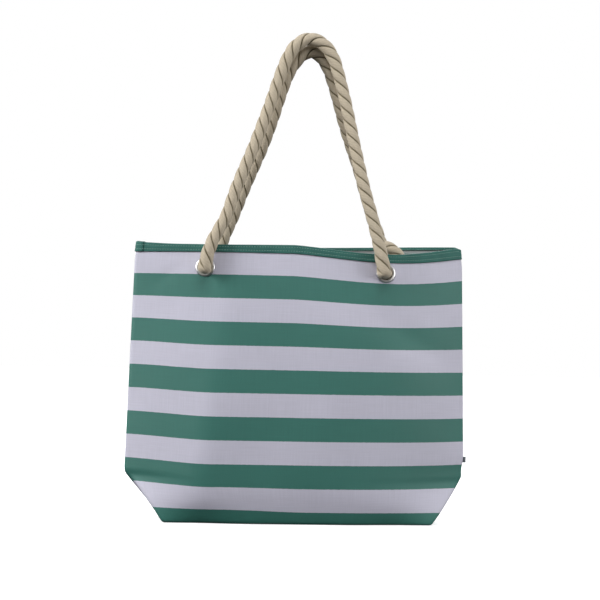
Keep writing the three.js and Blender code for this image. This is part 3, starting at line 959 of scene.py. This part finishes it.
def tape_profile(extra=0.0):
    """The folded tape's outer line: (drop below the cloth's top, distance out of the cloth's face)."""
    outer = GAP + BINDING_THICKNESS + extra
    inner = STACK_THICKNESS + GAP + BINDING_THICKNESS + extra
    top = RIM_Z - CLOTH_TOP + extra
    line = []
    for down in np.linspace(CLOTH_TOP - HEM_Z, 0, BAND_ROWS):
        pressed = sum(math.exp(-((down + top - row) / PRESSED_REACH) ** 2) for row in STITCH_ROWS)
        line.append((down, outer - PRESSED_DEPTH * pressed))
    middle, half = (outer - inner) / 2, (outer + inner) / 2
    for k in range(1, TOP_ARC_STEPS):
        angle = math.pi * k / TOP_ARC_STEPS
        line.append((-top * math.sin(angle) ** TOP_ARC_POWER, middle + half * math.cos(angle)))
    turned_in = BINDING_TURN_IN - top + extra
    line += [(turned_in * k / TURN_IN_STEPS, -inner) for k in range(TURN_IN_STEPS + 1)]
    return line


def tape_point(shell, side, column, down, out):
    """A point near the rim: a drop below the cloth's top, and a distance out of its face."""
    ids = shell.ids[side][:BAND_ROWS, column]
    drops = CLOTH_TOP - shell.heights[:BAND_ROWS]
    place = place_along(down, drops, shell.points[ids])
    normal = shell.normals[ids[2]].copy()
    normal[2] = 0
    normal /= np.linalg.norm(normal)
    if down < 0:
        place = place - UP * down
    return place + normal * out, normal


def tape_strip(shell, loop, profile, closed):
    """The tape's points, faces and corner coordinates along part of the rim, or all of it."""
    points = [tape_point(shell, side, column, down, out)[0] for side, column in loop for down, out in profile]
    faces = cell_corners(numbered(len(loop), len(profile), ring_rows=closed))
    along = np.arange(len(loop) + closed) * COLUMN_STEP
    across = travelled_along(profile)
    uvs = cell_corners(np.stack(np.meshgrid(along, across, indexing="ij"), axis=-1))
    return np.array(points), faces, uvs


def make_binding(shell, material):
    """The tape all round the rim, and a second layer where its two ends lap at the left seam."""
    loop = rim_loop()
    points, faces, uvs = tape_strip(shell, loop, tape_profile(), True)
    reach = round(JOIN_LENGTH / COLUMN_STEP)
    lap = loop[-reach:] + loop[: reach + 1]
    lap_points, lap_faces, lap_uvs = tape_strip(shell, lap, tape_profile(BINDING_THICKNESS), False)
    all_faces = np.vstack([faces, lap_faces + len(points)])
    all_points = np.vstack([points, lap_points])
    binding = link_mesh("rim_tape", all_points, all_faces, np.concatenate([uvs, lap_uvs]), material)
    thicken(binding, TAPE_MESH_THICKNESS)
    return finish_piece(binding, "bag", "binding", "rim_binding")


def stitch_shape():
    """One stitch as a small cigar along +X, half sunk in the cloth."""
    points = []
    for k in range(STITCH_RINGS + 1):
        angle = math.pi * k / STITCH_RINGS
        radius = STITCH_WIDTH / 2 * math.sin(angle) ** STITCH_POWER
        for j in range(STITCH_SIDES):
            turn = 2 * math.pi * j / STITCH_SIDES
            x = -STITCH_LENGTH / 2 * math.cos(angle)
            points.append((x, radius * math.cos(turn), radius * math.sin(turn)))
    rings = numbered(STITCH_RINGS + 1, STITCH_SIDES, ring_columns=True)
    return np.array(points), cell_corners(rings, flipped=True)


def stitches_along(path, normals, shape):
    """The points of every stitch, one pitch apart along a line of points on the cloth."""
    travelled = travelled_along(path)
    stitches = []
    for start in np.arange(STITCH_PITCH / 2, travelled[-1], STITCH_PITCH):
        place = place_along(start, travelled, path)
        along = place_along(start + MM, travelled, path) - place
        along /= max(np.linalg.norm(along), 1e-9)
        normal = place_along(start, travelled, normals)
        normal -= along * (normal @ along)
        normal /= np.linalg.norm(normal)
        turn = np.column_stack([along, np.cross(normal, along), normal])
        stitches.append(place + shape @ turn.T)
    return stitches


def make_binding_stitches(shell, material):
    """Two rows through the tape. Inside the bag the lower row comes out in the bare lining."""
    loop = rim_loop()
    loop = loop + loop[:1]
    lapped = round(JOIN_LENGTH / COLUMN_STEP)
    outer = GAP + BINDING_THICKNESS
    inner = -(STACK_THICKNESS + GAP + BINDING_THICKNESS)
    bare_inside = -(STACK_THICKNESS + STITCH_WIDTH / 4)
    shape, shape_faces = stitch_shape()
    stitches = []
    for row, inside in zip(STITCH_ROWS, (inner, bare_inside)):
        down = row - (RIM_Z - CLOTH_TOP)
        for out, sign, sink in ((outer, 1, STITCH_SINK), (inside, -1, 0)):
            path, normals = [], []
            for number, (side, column) in enumerate(loop):
                over_lap = number <= lapped or number >= len(loop) - 1 - lapped
                lift = BINDING_THICKNESS if over_lap else 0
                place, normal = tape_point(shell, side, column, down, out + sign * lift - sink)
                path.append(place)
                normals.append(normal * sign)
            stitches += stitches_along(np.array(path), np.array(normals), shape)
    faces = np.vstack([shape_faces + k * len(shape) for k in range(len(stitches))])
    thread = link_mesh("rim_tape_stitches", np.vstack(stitches), faces, None, material)
    return finish_piece(thread, "bag", "binding")


# ---------------- eyelets

LATHE_SEGMENTS = 72
DOME_STEPS = 14
DOME_POWER = 0.75            # 1 would be a half round dome, and less is fuller
FLANGE_LIP = 0.7 * MM
ROLL_STEPS = 8
ROLL_RADIUS = 0.85 * MM      # of the barrel's end, rolled over the washer
ROLL_TUCK = 0.1 * MM
WASHER_ROUND_OFF = 0.25 * MM


def eyelet_places(shell):
    """Each eyelet's centre on the cloth and its outward normal, at the frame's X and height."""
    places = {}
    for side, side_name in ((FRONT, "front"), (REAR, "rear")):
        for end in ("left", "right"):
            low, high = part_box(f"{side_name}_{end}_eyelet")
            middle = (low + high) / 2
            place, normal = shell.at(side, middle.x, middle.z)
            places[f"{side_name}_{end}"] = {"side": side, "place": place, "normal": normal}
    return places


def lathe(name, profile, place, normal, material):
    """A closed ring turned from (radius, height) points, standing on a place of the cloth."""
    turn = np.array(Vector((0, 0, 1)).rotation_difference(Vector(normal)).to_matrix())
    points = []
    for i in range(LATHE_SEGMENTS):
        angle = 2 * math.pi * i / LATHE_SEGMENTS
        for radius, height in profile:
            local = np.array([radius * math.cos(angle), radius * math.sin(angle), height])
            points.append(place + turn @ local)
    faces = cell_corners(numbered(LATHE_SEGMENTS, len(profile), ring_rows=True, ring_columns=True))
    return link_mesh(name, points, faces, None, material)


def eyelet_profile():
    """The domed flange, the barrel and its rolled end, as one closed line."""
    back = -STACK_THICKNESS - FLANGE_LIFT - WASHER_THICKNESS - GAP
    middle = (FLANGE_RADIUS + BARREL_INNER_RADIUS) / 2
    half = (FLANGE_RADIUS - BARREL_INNER_RADIUS) / 2
    line = []
    for k in range(DOME_STEPS + 1):
        angle = math.pi * k / DOME_STEPS
        rise = (FLANGE_RISE - FLANGE_LIFT) * math.sin(angle) ** DOME_POWER
        line.append((middle + half * math.cos(angle), FLANGE_LIFT + rise))
    for k in range(ROLL_STEPS + 1):
        angle = -math.pi * k / ROLL_STEPS
        radius = BARREL_INNER_RADIUS + ROLL_RADIUS * (1 - math.cos(angle))
        line.append((radius, back + ROLL_RADIUS * math.sin(angle)))
    line += [(BARREL_OUTER_RADIUS, back + ROLL_TUCK), (BARREL_OUTER_RADIUS, FLANGE_LIFT)]
    line += [(FLANGE_RADIUS - FLANGE_LIP, FLANGE_LIFT)]
    return line[::-1]


def washer_profile():
    front = -STACK_THICKNESS - FLANGE_LIFT
    back = front - WASHER_THICKNESS
    inner, outer, round_off = CLOTH_HOLE_RADIUS, FLANGE_RADIUS, WASHER_ROUND_OFF
    return [
        (inner, back), (inner, front), (outer - round_off, front), (outer, front - round_off),
        (outer, back + round_off), (outer - round_off, back),
    ]


def make_eyelets(places, material):
    for name, eyelet in places.items():
        ring = lathe(f"{name}_ring", eyelet_profile(), eyelet["place"], eyelet["normal"], material)
        finish_piece(ring, "bag", "eyelet_metal", f"{name}_eyelet")
        washer = lathe(f"{name}_backing", washer_profile(), eyelet["place"], eyelet["normal"], material)
        finish_piece(washer, "bag", "eyelet_metal", f"{name}_washer")


# ---------------- ropes

ROPE_SIDES = 90
RING_STEP = 0.8 * MM
CURVE_SAMPLES = 40           # between two points of a route
STRAND_ROUNDNESS = 0.14      # how far a strand's side falls away, of the rope's radius...
STRAND_POWER = 2.4           # ...and how late it does so
GROOVE_DEPTH = 0.15          # how much deeper the narrow groove beside a strand is
GROOVE_SHARPNESS = 10.0
END_FADE = 11 * MM           # the grooves fade out this close to a rope's blunt end...
END_GROOVE = 0.72            # ...where only this share of the way down from a ridge is left
BLUNTNESS = 2.5              # 2 would be a half ball at a rope's end, and more is flatter
TIP_SHARE = 0.03             # the flat tip's radius, of the rope's
YARNS_ACROSS = 4.0           # coarse yarns in half a strand
YARN_LAY = 9 * MM
YARN_RISE = 0.006
LUMP_LENGTH = 7.3 * MM       # slow unevenness along each strand
LUMP_SHIFT = 2.1
LUMP_RISE = 0.015

# Handles.
HANDLE_END_RADIUS = 9 * MM
BEND_EASING = 11 * MM        # a handle's route is averaged over this far to both sides
OPEN_END = (12 * MM, 60 * MM)    # the open end narrows between these distances from the end
TOP_CROWN = (90 * MM, 20 * MM)   # towards the top the rope thickens between these distances from it...
TOP_SWELL = 0.07                 # ...by this share of its radius
FRONT_LAY_START, REAR_LAY_START = 1.26, 1.9   # how far each handle's strands are turned at its start

# Knots and tails.
THROUGH_EYELET = (2 * MM, 10 * MM, 19 * MM)
KNOT_POINTS = 9
KNOT_START, KNOT_TURN = -60, 42       # degrees, and degrees from point to point
KNOT_RADIUS = 12.5 * MM
KNOT_DEPTH = 23 * MM
KNOT_RETURN = 1.5 * MM                # each point lies this much nearer the washer
LOOSE_RADIUS, NECK_RADIUS, TIP_RADIUS = 7.4 * MM, 6.6 * MM, 7.9 * MM
NECK_START, NECK_END, TAIL_LENGTH = 12 * MM, 26 * MM, 30 * MM


def smooth_route(points):
    """A centripetal Catmull-Rom curve through the points, in equal steps."""
    ends = np.vstack([2 * points[0] - points[1], points, 2 * points[-1] - points[-2]])
    dense = []
    for k in range(len(points) - 1):
        p = ends[k:k + 4]
        knots = np.r_[0, np.cumsum(np.sqrt(np.linalg.norm(np.diff(p, axis=0), axis=1)))]
        t = np.linspace(knots[1], knots[2], CURVE_SAMPLES, endpoint=False)[:, None]

        def between(a, b, start, end):
            return (end - t) / (end - start) * a + (t - start) / (end - start) * b

        a = [between(p[i], p[i + 1], knots[i], knots[i + 1]) for i in range(3)]
        b = [between(a[i], a[i + 1], knots[i], knots[i + 2]) for i in range(2)]
        dense.append(between(b[0], b[1], knots[1], knots[2]))
    line = np.vstack(dense + [points[-1:]])
    travelled = travelled_along(line)
    count = max(2, round(travelled[-1] / RING_STEP) + 1)
    return place_along(np.linspace(0, travelled[-1], count), travelled, line)


def carried_frames(route):
    """Two directions across the rope at each step, carried along without twisting."""
    tangents = np.gradient(route, axis=0)
    tangents /= np.linalg.norm(tangents, axis=1, keepdims=True)
    start = np.cross(tangents[0], [0.31, -0.9, 0.3])
    first = np.zeros_like(route)
    for i, tangent in enumerate(tangents):
        start = start - tangent * (start @ tangent)
        start = start / np.linalg.norm(start)
        first[i] = start
    return first, np.cross(tangents, first)


def blunt_end(to_end, radius):
    """Share of the rope's radius at each step: a flattened half ball at both ends."""
    cap = np.clip(to_end / radius, 0, 1)
    dome = (1 - (1 - cap) ** BLUNTNESS) ** (1 / BLUNTNESS)
    dome[0] = dome[-1] = TIP_SHARE
    return dome


def laid_rope(name, route, radius, material, lay_start):
    """A three-strand, left-laid rope along a route, with a radius for every step."""
    travelled = travelled_along(route)
    to_end = to_nearer_end(travelled)
    first, second = carried_frames(route)
    angles = np.linspace(0, 2 * math.pi, ROPE_SIDES, endpoint=False)
    twist = 2 * math.pi * travelled / ROPE_LAY + lay_start
    across = (angles[None, :] + twist[:, None]) * STRANDS / (2 * math.pi)
    signed = (across % 1 - 0.5) * 2
    fade = END_GROOVE + (1 - END_GROOVE) * smooth(to_end, 0, END_FADE)
    away = np.abs(signed) * fade[:, None]
    lobe = 1 - STRAND_ROUNDNESS * away ** STRAND_POWER - GROOVE_DEPTH * away ** GROOVE_SHARPNESS
    yarns = np.cos(2 * math.pi * (signed * YARNS_ACROSS + travelled[:, None] / YARN_LAY))
    lumps = np.sin(travelled[:, None] / LUMP_LENGTH + across // 1 * LUMP_SHIFT) * (1 - away)
    reach = lobe + YARN_RISE * yarns * (1 - away ** 4) + LUMP_RISE * lumps
    size = ((radius * blunt_end(to_end, radius))[:, None] * reach)[..., None]
    round_it = np.cos(angles)[:, None] * first[:, None, :] + np.sin(angles)[:, None] * second[:, None, :]
    points = route[:, None, :] + size * round_it
    grid = numbered(len(route), ROPE_SIDES)
    faces = cell_corners(np.hstack([grid, grid[:, :1]]), flipped=True)
    u = np.hstack([across, across[:, :1] + STRANDS])
    v = np.broadcast_to(travelled[:, None], u.shape)
    uvs = cell_corners(np.stack([u, v], axis=-1), flipped=True).reshape(-1, 2)
    cap_uvs = np.zeros((2 * ROPE_SIDES, 2))
    all_faces = list(faces) + [grid[0][::-1], grid[-1]]
    rope = link_mesh(name, points.reshape(-1, 3), all_faces, np.vstack([uvs, cap_uvs]), material)
    groove = rope.data.attributes.new("groove", "FLOAT", "POINT")
    groove.data.foreach_set("value", away.astype(np.float32).reshape(-1))
    return rope


def lengthened(arch):
    """The arch's route, carried on past each swing point far enough for the round end."""
    def beyond(end, before):
        return end + (end - before) * HANDLE_END_RADIUS / np.linalg.norm(end - before)

    return np.vstack([[beyond(arch[0], arch[1])], arch, [beyond(arch[-1], arch[-2])]])


def relaxed(route):
    """A route whose sharp bends are eased, as a stiff rope's are. Its two ends stay in place."""
    numbers = np.arange(len(route))
    reaches = np.minimum(to_nearer_end(numbers), round(BEND_EASING / RING_STEP))
    return np.array([route[i - r:i + r + 1].mean(axis=0) for i, r in zip(numbers, reaches)])


def make_handle(name, arch, body, material, lay_start):
    """One handle: thicker at its ends, where the rope opens as it bends into the eyelet."""
    route = relaxed(smooth_route(lengthened(arch)))
    travelled = travelled_along(route)
    to_end = to_nearer_end(travelled)
    length = float(travelled[-1])
    crown = smooth(to_end, length / 2 - TOP_CROWN[0], length / 2 - TOP_CROWN[1])
    radius = ROPE_RADIUS + (HANDLE_END_RADIUS - ROPE_RADIUS) * (1 - smooth(to_end, *OPEN_END))
    radius = radius + TOP_SWELL * ROPE_RADIUS * crown
    rope = laid_rope(f"{name}_rope", route, radius, material, lay_start)
    finish_piece(rope, body, "rope", f"{name}_handle")


def knot_route(eyelet, tail):
    """Through the eyelet, once round itself against the washer, and out along the tail."""
    inward = -eyelet["normal"]
    inward = inward - UP * (inward @ UP)
    inward /= np.linalg.norm(inward)
    across = np.cross(UP, inward)
    place = eyelet["place"]
    outside = place.copy()
    outside[1] = eyelet["side"] * SWING_Y
    through = [place + inward * depth for depth in THROUGH_EYELET]
    loop = []
    turn = 1 if across[0] * place[0] > 0 else -1
    for k in range(KNOT_POINTS):
        angle = math.radians(KNOT_START + KNOT_TURN * k) * turn
        sideways = math.sin(angle) * across + math.cos(angle) * UP
        loop.append(place + inward * (KNOT_DEPTH - KNOT_RETURN * k) + KNOT_RADIUS * sideways)
    return np.array([outside] + through + loop + [place + offset for offset in tail])


def hanging_tail(eyelet):
    """A tail that hangs down inside, as offsets from its eyelet."""
    lean = -math.copysign(1.0, eyelet["place"][0])
    inward = -eyelet["side"]
    return mm([
        [16 * lean, 14 * inward, -8], [15 * lean, 17 * inward, -18],
        [11 * lean, 17 * inward, -32], [8 * lean, 16 * inward, -46],
    ])


# The front right tail stands up out of the mouth and leans on the handle.
STANDING_TAIL = mm([[19.5, 17, 4], [21.5, 20, 15], [18, 20, 26], [7.5, 20, 33.5], [-4.5, 20, 37]])


def make_rope_end(name, eyelet, material, lay_start):
    tail = STANDING_TAIL if name == "front_right" else hanging_tail(eyelet)
    route = smooth_route(knot_route(eyelet, tail))
    travelled = travelled_along(route)
    places = [0, NECK_START, NECK_END, travelled[-1] - TAIL_LENGTH, travelled[-1]]
    radius = np.interp(travelled, places, [LOOSE_RADIUS, LOOSE_RADIUS, NECK_RADIUS, LOOSE_RADIUS, TIP_RADIUS])
    rope = laid_rope(f"{name}_rope_end", route, radius, material, lay_start)
    return finish_piece(rope, "bag", "rope", f"{name}_knot")


# ---------------- side label

LABEL_ROWS = 15
LABEL_BEND_POINTS = 9
LABEL_TUCK = 2 * MM          # how far the ribbon's ends go into the seam
RIBBON_HALF_LOOP = 0.45 * MM
RIBBON_THICKNESS = 0.3 * MM


def make_label(material):
    """A small blank ribbon, folded into a loop and sewn into the right side seam."""
    low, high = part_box("side_label")
    half = RIBBON_HALF_LOOP
    bend_x = high.x - half
    bend = np.linspace(-math.pi / 2, math.pi / 2, LABEL_BEND_POINTS)
    line = [(low.x - LABEL_TUCK, -half)]
    line += [(bend_x + half * math.cos(a), half * math.sin(a)) for a in bend]
    line += [(low.x - LABEL_TUCK, half)]
    rows = np.linspace(low.z, high.z, LABEL_ROWS)
    points = [(x, y, z) for z in rows for x, y in line]
    faces = cell_corners(numbered(LABEL_ROWS, len(line)), flipped=True)
    places = np.meshgrid(rows, travelled_along(line), indexing="ij")
    uvs = cell_corners(np.stack(places, axis=-1), flipped=True)
    label = link_mesh("seam_label", points, faces, uvs, material)
    thicken(label, RIBBON_THICKNESS)
    finish_piece(label, "bag", "label", "side_label")


# ---------------- assembly

def build():
    make_camera()
    make_world()
    make_lights()
    make_floor()
    shell = Shell()
    places = eyelet_places(shell)
    make_cloth(shell, places)
    binding = make_binding(shell, binding_material())
    stitches = make_binding_stitches(shell, thread_material())
    make_eyelets(places, metal_material())
    rope = rope_material()
    ends = {name: make_rope_end(name, eyelet, rope, lay_start)
            for lay_start, (name, eyelet) in enumerate(places.items())}
    make_handle("front", FRONT_ARCH, "front_grip", rope, FRONT_LAY_START)
    make_handle("rear", REAR_ARCH, "rear_grip", rope, REAR_LAY_START)
    make_label(label_material())


build()
